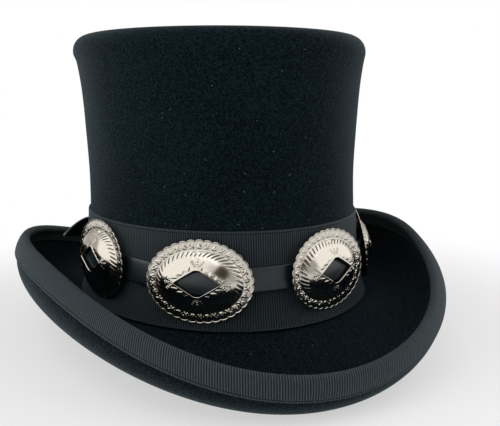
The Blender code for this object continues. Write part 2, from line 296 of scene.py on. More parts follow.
# Black wool felt, wet-blocked and brushed: a matt mottled nap with a soft pale edge where it turns away
# and a few specks of pale lint
def makeFelt():
    look = feltLook
    material, tree, shader = startMaterial(
        "blackWoolFelt", Roughness=1.0, Specular_IOR_Level=0.05, Sheen_Weight=look["fuzzWeight"],
        Sheen_Roughness=0.3, Sheen_Tint=hexToLinear(look["fuzz"]))
    place = addNode(tree, "ShaderNodeTexCoord").outputs["Object"]
    clump = addNode(tree, "ShaderNodeTexNoise", {
        "Vector": place, "Scale": mmInMetre / look["clumpMm"], "Detail": 4.0, "Roughness": 0.62})
    fibre = addNode(tree, "ShaderNodeTexNoise", {
        "Vector": place, "Scale": mmInMetre / look["fibreMm"], "Detail": 2.0, "Roughness": 0.7,
        "Distortion": 0.8})
    patch = addNode(tree, "ShaderNodeTexNoise", {
        "Vector": place, "Scale": mmInMetre / look["patchMm"], "Detail": 3.0})
    nap = addNode(tree, "ShaderNodeMath", {
        0: clump.outputs["Fac"], 1: fibre.outputs["Fac"]}, operation="MULTIPLY")
    mottle = addNode(tree, "ShaderNodeMath", {
        0: patch.outputs["Fac"], 1: look["patchShare"], 2: nap.outputs[0]}, operation="MULTIPLY_ADD")
    light = addNode(tree, "ShaderNodeMapRange", {
        "Value": mottle.outputs[0], "From Min": look["fibreRange"][0], "From Max": look["fibreRange"][1]})
    colour = addNode(tree, "ShaderNodeMix", {
        "Factor": light.outputs[0], mixA: hexToLinear(look["darkFibre"]),
        mixB: hexToLinear(look["lightFibre"])}, data_type="RGBA")
    # lint lies in the middle of some of the cells
    cells = addNode(tree, "ShaderNodeTexVoronoi", {"Vector": place, "Scale": mmInMetre / look["lintMm"]})
    chance = addNode(tree, "ShaderNodeSeparateColor", {0: cells.outputs["Color"]})
    spot = addNode(tree, "ShaderNodeMath", {
        0: cells.outputs["Distance"], 1: look["lintReach"]}, operation="LESS_THAN")
    some = addNode(tree, "ShaderNodeMath", {
        0: chance.outputs[0], 1: 1 - look["lintShare"]}, operation="GREATER_THAN")
    lint = addNode(tree, "ShaderNodeMath", {0: spot.outputs[0], 1: some.outputs[0]}, operation="MULTIPLY")
    specked = addNode(tree, "ShaderNodeMix", {
        "Factor": lint.outputs[0], mixA: colour.outputs[mixOut], mixB: hexToLinear(look["lintColour"])},
        data_type="RGBA")
    tree.links.new(specked.outputs[mixOut], shader.inputs["Base Color"])
    bump = addNode(tree, "ShaderNodeBump", {
        "Height": nap.outputs[0], "Strength": 0.9, "Distance": look["napDepth"]})
    tree.links.new(bump.outputs[0], shader.inputs["Normal"])
    return material


# Felt body: outer skin from the middle of the tip to the brim's edge, a half circle round it, and the
# inner skin back
def makeFeltBody():
    look = feltLook
    angle = np.linspace(0, 2 * math.pi, look["columns"], endpoint=False)
    half = hatForm["wall"] / 2
    edgeOut, edgeUp, edgeHeading = edgeRows(np.array([[1.0]]))
    top = edgeUp + hatForm["wall"] * np.cos(edgeHeading)
    low = around(angle, "breakHeight")
    shares = np.linspace(0, 1, look["wallRows"])[:, None]
    height = top + (low - top) * shares[1:]
    out, up, heading = wallRows(height)
    # the rounded edge ends a little outside the wall's curve, and the wall eases in below it
    gap = edgeOut - wallRows(top)[0]
    full = np.sin(math.pi * ramp(height, look["fullFrom"], top)) ** 2
    wave = sum(share * np.sin(count * angle + turn + lean * height)
               for count, turn, lean, share in look["waves"])
    out = (out + gap * ease(ramp(height, top - look["easeDown"], top)) + look["fullness"] * full
           + look["wave"] * wave * ramp(height, *look["waveHeights"]))
    width = around(angle, "brimWidth") - half
    brim = brimRows(angle, np.linspace(0, 1, look["brimRows"])[1:, None] * width)
    bend = breakRows(angle, np.linspace(0, 1, look["breakRows"] + 1)[1:, None])
    edge = edgeRows(np.linspace(0, 1, look["tipRows"])[:, None])
    rows = joinRows(angle, edge, (out, up, heading), bend, brim)
    outer = skin(angle, rows, hatForm["wall"])
    inner = skin(angle, rows)
    last = tuple(v[-1:] for v in rows)
    turn = np.radians(np.linspace(90, -90, look["edgeRows"]))[1:-1, None]
    cap = skin(angle, last, half + half * np.sin(turn), half * np.cos(turn))
    rings = np.array(look["tipRings"])[:, None]
    tips = []
    for face in (outer[0], inner[0]):
        tip = face[None] * np.stack([rings, rings, 1 + 0 * rings], -1)
        tip[..., 2] += hatForm["tipDome"] * (1 - rings ** 2)
        tips.append(tip)
    grid = np.concatenate([tips[0], outer, cap, inner[::-1], tips[1][::-1]])
    finishPiece(addSurface("feltBody", grid, makeFelt(), poles=True), "felt_body")


makeFeltBody()
print("felt body made")

# What the two ribbons share; each Mm is counted across them from the nearer edge
ribbonLook = {
    "fuzz": "#b9c4cb",
    "borderMm": (1.15, 1.75),   # the woven selvedge ends between these
    # rib heights in the selvedge, which also set its painted shade between the cords
    "selvedgeRibsAndShade": (0.35, 0.65),
    "stitchMm": 1.45,
    "stitchHalfMm": (0.10, 0.34),
    # share of the rib height left on the stitch line, which also darkens it as painted shade
    "stitchRibAndShade": 0.15,
    "ribDepth": 0.0003,
    "unevenScale": (0.9, 0.22, 1.0),   # for each cord and each mm
    "unevenShare": 0.55,
    "threadMm": 0.3125,
    "threadShare": 0.25,
    # values mapped from dark to light: painted shade between the cords mixed with random tone
    "shadeAndToneRange": (0.45, 1.35),
    "awayMm": 12.0,   # given where no edge is near
}


# Grosgrain ribbon: a fine dull weave over cords, with painted shade as dark lines between the cords, and a
# sewn selvedge.
# The UV map gives the cord's number along the ribbon and the distance in mm from its nearer edge.
def makeGrosgrain(name, light, dark, fuzzWeight):
    look = ribbonLook
    material, tree, shader = startMaterial(
        name, Roughness=0.7, Specular_IOR_Level=0.2, Sheen_Weight=fuzzWeight, Sheen_Roughness=0.5,
        Sheen_Tint=hexToLinear(look["fuzz"]))
    uv = addNode(tree, "ShaderNodeUVMap", uv_map="ribbon").outputs[0]
    parts = addNode(tree, "ShaderNodeSeparateXYZ", {0: uv})
    along, inward = parts.outputs[0], parts.outputs[1]
    # one wave for each cord, and in the selvedge a weaker one of twice its length
    turns = addNode(tree, "ShaderNodeMath", {0: along, 1: 2 * math.pi}, operation="MULTIPLY")
    wave = addNode(tree, "ShaderNodeMath", {0: turns.outputs[0]}, operation="SINE")
    cord = addNode(tree, "ShaderNodeMapRange", {
        "Value": wave.outputs[0], "From Min": -1.0, "From Max": 1.0})
    halfTurns = addNode(tree, "ShaderNodeMath", {0: along, 1: math.pi}, operation="MULTIPLY")
    loopWave = addNode(tree, "ShaderNodeMath", {0: halfTurns.outputs[0]}, operation="SINE")
    loop = addNode(tree, "ShaderNodeMapRange", {
        "Value": loopWave.outputs[0], "From Min": -1.0, "From Max": 1.0})
    quiet = addNode(tree, "ShaderNodeMapRange", {
        "Value": loop.outputs[0], "To Min": look["selvedgeRibsAndShade"][0], "To Max": look["selvedgeRibsAndShade"][1]})
    border = addNode(tree, "ShaderNodeMapRange", {
        "Value": inward, "From Min": look["borderMm"][0], "From Max": look["borderMm"][1]})
    ribs = addNode(tree, "ShaderNodeMix", {
        "Factor": border.outputs[0], 2: quiet.outputs[0], 3: cord.outputs[0]})
    # the stitches pull the ribs down along one line, and painted shade darkens that line
    stitchGap = addNode(tree, "ShaderNodeMath", {0: inward, 1: look["stitchMm"]}, operation="SUBTRACT")
    stitchNear = addNode(tree, "ShaderNodeMath", {0: stitchGap.outputs[0]}, operation="ABSOLUTE")
    stitch = addNode(tree, "ShaderNodeMapRange", {
        "Value": stitchNear.outputs[0], "From Min": look["stitchHalfMm"][0],
        "From Max": look["stitchHalfMm"][1], "To Min": look["stitchRibAndShade"], "To Max": 1.0})
    height = addNode(tree, "ShaderNodeMath", {
        0: ribs.outputs[0], 1: stitch.outputs[0]}, operation="MULTIPLY")
    # tone: painted shade from the ribs' height between the cords, plus random slow unevenness and fine
    # threads
    stretched = addNode(tree, "ShaderNodeMapping", {"Vector": uv, "Scale": look["unevenScale"]})
    uneven = addNode(tree, "ShaderNodeTexNoise", {
        "Vector": stretched.outputs[0], "Scale": 1.0, "Detail": 3.0})
    place = addNode(tree, "ShaderNodeTexCoord").outputs["Object"]
    thread = addNode(tree, "ShaderNodeTexNoise", {
        "Vector": place, "Scale": mmInMetre / look["threadMm"], "Detail": 1.0})
    ribShadeAndTone = addNode(tree, "ShaderNodeMath", {
        0: uneven.outputs["Fac"], 1: look["unevenShare"], 2: height.outputs[0]}, operation="MULTIPLY_ADD")
    fine = addNode(tree, "ShaderNodeMath", {
        0: thread.outputs["Fac"], 1: look["threadShare"], 2: ribShadeAndTone.outputs[0]}, operation="MULTIPLY_ADD")
    lit = addNode(tree, "ShaderNodeMapRange", {
        "Value": fine.outputs[0], "From Min": look["shadeAndToneRange"][0], "From Max": look["shadeAndToneRange"][1]})
    colour = addNode(tree, "ShaderNodeMix", {
        "Factor": lit.outputs[0], mixA: hexToLinear(dark), mixB: hexToLinear(light)}, data_type="RGBA")
    tree.links.new(colour.outputs[mixOut], shader.inputs["Base Color"])
    bump = addNode(tree, "ShaderNodeBump", {
        "Height": height.outputs[0], "Strength": 1.0, "Distance": look["ribDepth"]})
    tree.links.new(bump.outputs[0], shader.inputs["Normal"])
    return material


# Length along a closed ring of points, with the whole length last
def ringLengths(ring):
    steps = np.linalg.norm(np.roll(ring, -1, 0) - ring, axis=1)
    return np.concatenate([[0.0], np.cumsum(steps)])


# Ribbon UV: an even number of cords counted along the ribbon, and mm from its nearer edge
def ribbonUv(ring, ribMm, inwardMm, columns):
    lengths = ringLengths(ring)
    count = 2 * round(lengths[-1] * mmInMetre / ribMm / 2)
    u = np.broadcast_to(lengths / lengths[-1] * count, (len(inwardMm), columns + 1))
    v = np.broadcast_to(np.array(inwardMm)[:, None], (len(inwardMm), columns + 1))
    return np.stack([u, v], -1)


bindingLook = {
    "columns": 720,
    "width": 0.0115,
    "thickness": 0.0010,
    "clearance": 0.0003,
    # light and dark ends of the tone; the dark end is painted shade between the cords and on the stitch
    # line, mixed with random tone
    "light": "#3f4b51",
    "dark": "#05090b",
    "fuzzWeight": 0.05,
    "ribMm": 1.2,   # real cords lie about 1 mm apart, drawn coarser so that they show
    "rowsMm": (0.0, 0.2, 0.5, 0.9, 1.3, 1.6, 2.0, 3.0, 4.5, 6.0, 7.5, 9.0),
    "turnRows": 13,
    "selvedgeThin": 0.55,   # share of the thickness that is missing at the very edge
    "selvedgeMm": 0.35,
    "stitchDip": 0.22,
    "stitchDipMm": 0.28,
}


# Binding: the ribbon's outer face from the lower border round the brim's edge to the upper one, and its
# back. Thickness = whole less a bell at the edge and a bell on the stitch line.
def makeBrimBinding():
    look = bindingLook
    angle = np.linspace(0, 2 * math.pi, look["columns"], endpoint=False)
    wall, near = hatForm["wall"], look["clearance"]
    half = wall / 2
    width = around(angle, "brimWidth") - half
    span = look["width"] - half
    mm = np.append(look["rowsMm"], span * mmInMetre)[:, None]
    rows = brimRows(angle, width - span + mm / mmInMetre)
    selvedge = look["selvedgeThin"] * np.exp(-(mm / look["selvedgeMm"]) ** 2)
    stitches = look["stitchDip"] * np.exp(-((mm - ribbonLook["stitchMm"]) / look["stitchDipMm"]) ** 2)
    thick = look["thickness"] * (1 - selvedge - stitches)
    under = skin(angle, rows, -near - thick)
    over = skin(angle, rows, wall + near + thick)
    underBack = skin(angle, rows, -near)
    overBack = skin(angle, rows, wall + near)
    edge = tuple(v[-1:] for v in rows)
    turn = np.radians(np.linspace(-90, 90, look["turnRows"]))[1:-1, None]
    far = half + near + look["thickness"]
    front = skin(angle, edge, half + far * np.sin(turn), far * np.cos(turn))
    back = skin(angle, edge, half + (half + near) * np.sin(turn[::-1]), (half + near) * np.cos(turn[::-1]))
    grid = np.concatenate([under, front, over[::-1], overBack, back, underBack[::-1]])
    away = ribbonLook["awayMm"]
    inward = list(mm[:, 0]) + [away] * len(front) + list(mm[::-1, 0])
    inward += [away] * (len(overBack) + len(back) + len(underBack)) + [0.0]
    uv = ribbonUv(front[len(front) // 2], look["ribMm"], inward, look["columns"])
    ribbon = makeGrosgrain("slateBindingRibbon", look["light"], look["dark"], look["fuzzWeight"])
    item = addSurface("brimBinding", grid, ribbon, wrapRows=True, uv=uv, flip=True)
    finishPiece(item, "brim_binding")


bandLook = {
    "columns": 560,
    "height": 0.0545,
    "thickness": 0.0010,
    "clearance": 0.0003,
    # light and dark ends of the tone; the dark end is painted shade between the cords and on the stitch
    # line, mixed with random tone
    "light": "#303c43",
    "dark": "#010304",
    "fuzzWeight": 0.18,
    "ribMm": 1.25,   # drawn coarser, as on the binding
    "edgeShares": (0, 0.004, 0.010, 0.018, 0.028, 0.04),   # close rows at the upper edge
    "plainShares": (0.06, 1),
    "plainRows": 30,
    "lipMm": 3.6,   # width of the lip that turns out on to the brim
    "lipShare": 1 / 3,   # share of the bend that it follows
    "lipRows": 5,
    "selvedgeThin": 0.6,
    "selvedgeMm": 0.4,
    "lipWave": 0.0004,
    "waveMm": (45, 57),   # from the upper edge, where the lip's waves begin and where they are whole
    "waveRest": 0.6,
    "waves": ((7, 0.4, 0.4), (13, 2.0, 0.35)),   # as the felt's, without the third value
    "countedRow": 8,   # the row whose length the cords are counted along
}


# Hat band: outer face from its upper edge down to the lip on the brim, and its back. The lower edge
# ripples a little: lift = height of the waves times (rest + sum of sines) times the square of the rise.
def makeHatBand():
    look = bandLook
    angle = np.linspace(0, 2 * math.pi, look["columns"], endpoint=False)
    near = hatForm["wall"] + look["clearance"]
    low = around(angle, "breakHeight")
    shares = np.append(look["edgeShares"], np.linspace(*look["plainShares"], look["plainRows"]))[:, None]
    wall = wallRows(look["height"] + (low - look["height"]) * shares)
    bend = breakRows(angle, np.linspace(0, look["lipShare"], look["lipRows"] + 1)[1:, None])
    rows = joinRows(angle, wall, bend)
    heightMm = look["height"] * mmInMetre
    lipMm = heightMm + np.linspace(0, look["lipMm"], look["lipRows"] + 1)[1:]
    mm = np.concatenate([shares[:, 0] * heightMm, lipMm])
    inward = np.minimum(mm, mm[-1] - mm)
    selvedge = look["selvedgeThin"] * np.exp(-(inward / look["selvedgeMm"]) ** 2)
    thick = look["thickness"] * (1 - selvedge)[:, None]
    wave = sum(share * np.sin(count * angle + turn) for count, turn, share in look["waves"])
    wave = look["waveRest"] + wave
    lift = look["lipWave"] * wave * ramp(mm, *look["waveMm"])[:, None] ** 2
    face = skin(angle, rows, near + thick + lift)
    back = skin(angle, rows, near + lift)
    grid = np.concatenate([face, back[::-1]])
    inwardAll = list(inward) + [ribbonLook["awayMm"]] * len(back) + [0.0]
    uv = ribbonUv(face[look["countedRow"]], look["ribMm"], inwardAll, look["columns"])
    ribbon = makeGrosgrain("blackBandRibbon", look["light"], look["dark"], look["fuzzWeight"])
    finishPiece(addSurface("hatBand", grid, ribbon, wrapRows=True, uv=uv), "hat_band")


makeBrimBinding()
makeHatBand()
print("ribbons made")

# Strap: sizes, its lie along the band, its free end, and its leather
strapLook = {
    "width": 0.0130,
    "thickness": 0.0018,
    "height": 0.0307,
    "clearance": 0.0003,   # air under it and between its lapped ends
    "endGap": 0.0050,
    "overlap": 0.0120,
    "climb": 0.0100,
    "riseLength": 0.0220,
    "flatShare": 1 / 12,   # share of the conchos' spacing that stays up on each side of a bar
    "bulge": 0.0010,   # how far the leather swells into each opening
    "tail": 0.0430,
    "tailRows": 39,
    "tailShares": (0.00, 0.20, 0.45, 0.70, 0.90, 1.00),
    "tailBends": (0.0, 3.0, 6.0, 9.0, 11.0, 12.0),   # how far it has turned off the band there
    "tailArch": 0.0042,   # how high the free end arches up half way
    "tipFrom": 0.45,   # share of the free end where it starts to narrow
    "tipCurve": 1.3,
    "tipShare": 0.14,   # what is left of the width at its pointed tip
    "tipUp": 0.3,   # share of the lost half width by which the point sits higher
    "fineSteps": 2880,   # of the line that it is measured along
    "stepMm": 0.9,
    "sectionPoints": 28,
    "sideSquare": 0.22,   # powers of the superellipse, smaller is squarer
    "faceSquare": 0.5,
    "cutRows": 2,
    "grainMm": 0.55,
    "wornMm": 5.556,   # size of the patches that are more or less polished
    "gloss": (0.28, 0.46),
    "finish": "#0c1c21",
    "cut": "#454b49",
}

# Concho: first its sizes in metres, then its outline, dome and stamping in mm, and its metal
conchoLook = {
    # how far each has slipped along and up, and how many degrees its face looks down
    "slips": (
        (0.0022, 0.0016, 3.0),
        (0.0013, -0.0016, 3.5),
        (-0.0005, 0.0, 3.0),
        (0.0030, 0.0, -2.0),
        (0.0, 0.0010, 1.0),
        (0.0, 0.0, 2.0),
        (0.0, 0.0, 1.0),
    ),
    "width": 0.0570,
    "height": 0.0435,
    "places": 8,
    "start": -71.9,
    "metal": 0.0009,
    "dome": 0.0067,
    "standoff": 0.0015,
    "leanOut": 0.6,   # share of the lower edge's way inwards that a leaning concho stands farther out
    "diamondWidth": 0.0247,
    "diamondHeight": 0.0153,
    "barWidth": 0.0070,
    "barThickness": 0.0011,
    "barHeight": 0.0009,
    "barShare": 0.79,   # share of the concho's height
    "barShort": 0.0013,
    # outline and dome, in mm from here on
    "fineSteps": 4000,   # of the oval that the edge is measured along
    "scallops": 34,
    "scallopDepth": 0.95,
    "scallopCurve": 0.55,
    "scallopReach": 2.2,   # how far in the scallops fade out
    "footMm": 5.4,   # in from the edge, where the dome starts
    "domeSpan": 12.5,
    "domeCurve": 0.8,
    "bluntMm": 0.95,   # how much of the opening's upper and lower tips is blunt
    "bluntShare": 0.9,
    "backMm": 0.05,   # how far the back lies under the dome's own curve
    # rings from the edge inwards: the lip, then from, to and step on the border and on the dome
    "lipRings": (0, 0.07, 0.14, 0.22, 0.32, 0.44, 0.56, 0.75, 1.1),
    "borderRings": (1.5, 5.2, 0.22),
    "domeRings": (5.2, 9.4, 0.26),
    "lastRings": (9.7, 10.1),
    "openingRings": 25,
    "backRings": (0, 4, 8, 14, 22, 30, 38, 46, 56, -1),
    "columnsAScallop": 16,
    # stamping: height or depth first, then place and half width
    "lip": (0.15, 0.28, 0.20),
    "footLine": (0.16, 5.45, 0.14),
    "rim": (0.18, 0.38),
    "lobeMm": 4.6,
    "motifs": (0.22, 3.45),
    "cross": (0.95, 0.27),   # reach and half width of its arms
    "heartLobes": (0.55, 0.45, 0.68),   # sideways, inwards and radius
    "heartSides": (0.78, 0.62, 1.35, 0.55),   # slant of its sides, how far out its point is, its top
    "heartDot": (0.6, 0.15, 0.30),
    "dots": (0.20, 0.26),
    "flutes": 44,
    "fluteDepth": 0.38,
    "fluteCurve": 0.6,
    "fluteSlant": (5.6, 3.1),   # mm in where it starts, and mm for a slant of one flute
    "fluteZone": (5.55, 5.9, 7.8, 9.3),
    "rayHeight": 0.28,
    "raySpread": (-40, 0, 40),
    "rayZone": (1.0, 1.3, 5.3, 5.6),
    "rayHalf": (0.40, 0.08),   # half width at the corner, and what each mm adds
    "rungs": (0.4, 0.6, 1.15),   # steady share, share that comes and goes, spacing
    "teeth": (0.14, 5.0, 3.6),   # depth, how many a side, length
    "toothFoot": (0.6, 0.65, 0.8),
    "toothShares": (0.16, 0.21, 0.79, 0.84),   # along a side, where they fade in and out
    # antiquing: share on steep forms and in hollows, and from where it counts
    "steepShare": 0.5,
    "steepFrom": 0.12,
    "leastStep": 0.05,
    "hollowShare": 0.65,
    "hollowZone": (0.06, 0.32),
    "backPatina": 0.4,
    "polished": "#c0bbb1",
    "antiqued": "#1d1a17",
    "wipeMm": 2.381,   # size of the clouds that wiping leaves
    "wipeShare": 0.35,
    "wipeRange": (0.30, 0.85),
    "gloss": (0.17, 0.5),
}


# Finished black strap leather: smooth and slightly glossy, a fine grain, and a raw greyish cut at its
# free end
def makeLeather():
    look = strapLook
    material, tree, shader = startMaterial(
        "blackStrapLeather", Roughness=0.36, Specular_IOR_Level=0.5, Coat_Weight=0.12, Coat_Roughness=0.3)
    place = addNode(tree, "ShaderNodeTexCoord").outputs["Object"]
    grain = addNode(tree, "ShaderNodeTexVoronoi", {"Vector": place, "Scale": mmInMetre / look["grainMm"]})
    worn = addNode(tree, "ShaderNodeTexNoise", {
        "Vector": place, "Scale": mmInMetre / look["wornMm"], "Detail": 4.0})
    rough = addNode(tree, "ShaderNodeMapRange", {
        "Value": worn.outputs["Fac"], "To Min": look["gloss"][0], "To Max": look["gloss"][1]})
    tree.links.new(rough.outputs[0], shader.inputs["Roughness"])
    cut = addNode(tree, "ShaderNodeAttribute", attribute_name="rawCut")
    colour = addNode(tree, "ShaderNodeMix", {
        "Factor": cut.outputs["Fac"], mixA: hexToLinear(look["finish"]), mixB: hexToLinear(look["cut"])},
        data_type="RGBA")
    tree.links.new(colour.outputs[mixOut], shader.inputs["Base Color"])
    bump = addNode(tree, "ShaderNodeBump", {
        "Height": grain.outputs["Distance"], "Strength": 0.25, "Distance": 0.0001})
    tree.links.new(bump.outputs[0], shader.inputs["Normal"])
    return material


# Nickel silver, die-struck and polished, its stamping filled with dark antiquing that stays in the hollows
def makeNickelSilver():
    look = conchoLook
    material, tree, shader = startMaterial("antiquedNickelSilver", Metallic=1.0, Roughness=0.2)
    place = addNode(tree, "ShaderNodeTexCoord").outputs["Object"]
    patina = addNode(tree, "ShaderNodeAttribute", attribute_name="patina")
    cloud = addNode(tree, "ShaderNodeTexNoise", {
        "Vector": place, "Scale": mmInMetre / look["wipeMm"], "Detail": 4.0})
    wipe = addNode(tree, "ShaderNodeMath", {
        0: cloud.outputs["Fac"], 1: look["wipeShare"], 2: patina.outputs["Fac"]}, operation="MULTIPLY_ADD")
    dark = addNode(tree, "ShaderNodeMapRange", {
        "Value": wipe.outputs[0], "From Min": look["wipeRange"][0], "From Max": look["wipeRange"][1]})
    colour = addNode(tree, "ShaderNodeMix", {
        "Factor": dark.outputs[0], mixA: hexToLinear(look["polished"]),
        mixB: hexToLinear(look["antiqued"])}, data_type="RGBA")
    tree.links.new(colour.outputs[mixOut], shader.inputs["Base Color"])
    rough = addNode(tree, "ShaderNodeMapRange", {
        "Value": dark.outputs[0], "To Min": look["gloss"][0], "To Max": look["gloss"][1]})
    tree.links.new(rough.outputs[0], shader.inputs["Roughness"])
    bump = addNode(tree, "ShaderNodeBump", {
        "Height": cloud.outputs["Fac"], "Strength": 0.02, "Distance": 0.0002})
    tree.links.new(bump.outputs[0], shader.inputs["Normal"])
    return material


# Frame on the band's face at an angle and a height: place, outward, along and upward, each (n, 3).
# Outward is the oval's normal leant back by the wall's slope, and along is upward x outward.
def bandFrame(angle, height):
    slope = np.polyval(crownSlope, height)
    reach = np.polyval(crownFit, height) + bandLook["clearance"] + bandLook["thickness"]
    point, normal = ovalRing(angle)
    flat = point + normal * reach[:, None]
    place = np.concatenate([flat, (height - floorUp)[:, None]], 1)
    out = np.concatenate([normal, 0 * normal[:, :1]], 1)
    up = np.broadcast_to(np.array([0.0, 0.0, 1.0]), out.shape)
    face = (out - slope[:, None] * up) / np.hypot(1, slope)[:, None]
    rise = (up + slope[:, None] * out) / np.hypot(1, slope)[:, None]
    return place, face, np.cross(rise, face), rise


# Lengths along the strap's line against angles, two turns of them, and the conchos' places on it
fineAngles = np.linspace(-2 * math.pi, 2 * math.pi, strapLook["fineSteps"] + 1)
finePlaces = bandFrame(fineAngles, np.full(len(fineAngles), strapLook["height"]))[0]
fineSteps = np.linalg.norm(np.diff(finePlaces, axis=0), axis=1)
fineLengths = np.concatenate([[0.0], np.cumsum(fineSteps)])
strapRound = (fineLengths[-1] - fineLengths[0]) / 2
conchoPitch = strapRound / conchoLook["places"]
firstLength = float(np.interp(math.radians(conchoLook["start"]), fineAngles, fineLengths))
slipsAlong, slipsUp, slipsDown = np.array(conchoLook["slips"]).T
conchoLengths = firstLength + np.arange(len(slipsAlong)) * conchoPitch + slipsAlong
conchoLeans = np.radians(slipsDown)
leanWay = conchoLook["height"] / 2 * np.sin(np.clip(conchoLeans, 0, None))
conchoStandoffs = conchoLook["standoff"] + conchoLook["leanOut"] * leanWay


# Strap's frame at lengths along it: its height eases by sin^2 from one concho's to the next
def strapFrame(length):
    before, beyond = conchoLengths[-1] - strapRound, conchoLengths[0] + strapRound
    ends = np.concatenate([[before], conchoLengths, [beyond]])
    ups = np.concatenate([slipsUp[-1:], slipsUp, slipsUp[:1]])
    wrapped = (length - before) % strapRound + before
    after = np.clip(np.searchsorted(ends, wrapped), 1, len(ends) - 1)
    share = (wrapped - ends[after - 1]) / (ends[after] - ends[after - 1])
    eased = np.sin(math.pi / 2 * share) ** 2
    height = strapLook["height"] + ups[after - 1] + (ups[after] - ups[after - 1]) * eased
    return bandFrame(np.interp(wrapped, fineLengths, fineAngles), height)


# Rise over the bars: cos^2 of the way from the bar's flat to where the strap lies on the band again
def strapRise(length):
    gap = (length[:, None] - conchoLengths[None] + strapRound / 2) % strapRound - strapRound / 2
    top = conchoStandoffs[np.abs(gap).argmin(1)] + conchoLook["barHeight"] + conchoLook["barThickness"]
    flat = conchoLook["barWidth"] / 2 + conchoPitch * strapLook["flatShare"]
    share = ramp(np.abs(gap).min(1), flat, strapLook["riseLength"])
    return top * np.cos(math.pi / 2 * share) ** 2


# Power of a sine or cosine that keeps its sign, which makes an oval squarer
def signedPower(value, power):
    return np.sign(value) * np.abs(value) ** power


# Strap: a rounded oblong section carried along the band, up over each bar and its own end, then free.
# The free end adds up steps of a slowly turning way, plus an arch 4 t (1 - t), and narrows to a point.
def makeStrap():
    look = strapLook
    near = look["clearance"]
    begin = conchoLengths[-1] + conchoLook["width"] / 2 + look["endGap"] - strapRound
    end = begin + strapRound + look["overlap"]
    climb = end - look["overlap"] - near - look["climb"]
    length = np.linspace(begin, end, round((end - begin) * mmInMetre / look["stepMm"]) + 1)
    place, face, back, rise = strapFrame(length)
    lap = ease(ramp(length, climb, climb + look["climb"]))
    lift = near + strapRise(length) + lap * (look["thickness"] + near)
    line = place + face * lift[:, None]
    share = np.linspace(0, 1, look["tailRows"] + 1)[1:]
    turn = np.radians(np.interp(share, look["tailShares"], look["tailBends"]))[:, None]
    way = np.sin(turn) * face[-1] + np.cos(turn) * back[-1]
    tail = line[-1] + np.cumsum(way, 0) * look["tail"] / len(share)
    tail[:, 2] += 4 * look["tailArch"] * share * (1 - share)
    tailFace = np.cos(turn) * face[-1] - np.sin(turn) * back[-1]
    tailWidth = 1 - (1 - look["tipShare"]) * ramp(share, look["tipFrom"], 1) ** look["tipCurve"]
    tail += rise[-1] * (look["tipUp"] * look["width"] / 2 * (1 - tailWidth))[:, None]
    line = np.concatenate([line, tail])
    face = np.concatenate([face, tailFace])
    rise = np.concatenate([rise, np.broadcast_to(rise[-1], tail.shape)])
    across = np.concatenate([np.ones(len(length)), tailWidth])
    # section: a superellipse, which swells outwards between its edges where it passes over a bar
    spin = np.linspace(0, 2 * math.pi, look["sectionPoints"], endpoint=False)
    sideways = signedPower(np.cos(spin), look["sideSquare"]) * look["width"] / 2
    depth = (1 + signedPower(np.sin(spin), look["faceSquare"])) * look["thickness"] / 2
    swell = np.zeros(len(line))
    swell[:len(length)] = look["bulge"] * (strapRise(length) / strapRise(conchoLengths[:1])[0]) ** 3
    crowned = np.clip(np.sin(spin), 0, 1) ** look["faceSquare"] * (1 - (sideways / look["width"] * 2) ** 2)
    depth = depth[None] + swell[:, None] * crowned[None]
    grid = (line[:, None] + face[:, None] * depth[..., None]
            + rise[:, None] * (sideways[None] * across[:, None])[..., None])
    raw = np.zeros(grid.shape[:2])
    raw[-look["cutRows"]:] = 1.0
    item = addSurface("leatherStrap", grid, makeLeather(), poles=True, flip=True,
                      attributes={"rawCut": raw})
    finishPiece(item, "concho_strap")


# Distance from points to the line between two points, all in mm
def segmentGap(x, y, start, end):
    dx, dy = end[0] - start[0], end[1] - start[1]
    share = np.clip(((x - start[0]) * dx + (y - start[1]) * dy) / (dx * dx + dy * dy), 0, 1)
    return np.hypot(x - start[0] - share * dx, y - start[1] - share * dy)


# 1 inside a line of this half width and 0 outside, with a soft shoulder: 1 / (1 + e^(2 gap / shoulder))
def softLine(gap, halfWidth, shoulder=0.14):
    return 1 / (1 + np.exp((gap - halfWidth) / (shoulder / 2)))


# 1 in the middle of a zone given by four values: it rises over the first two and falls over the last two
def inZone(value, zone):
    return ramp(value, zone[0], zone[1]) * ramp(value, zone[3], zone[2])


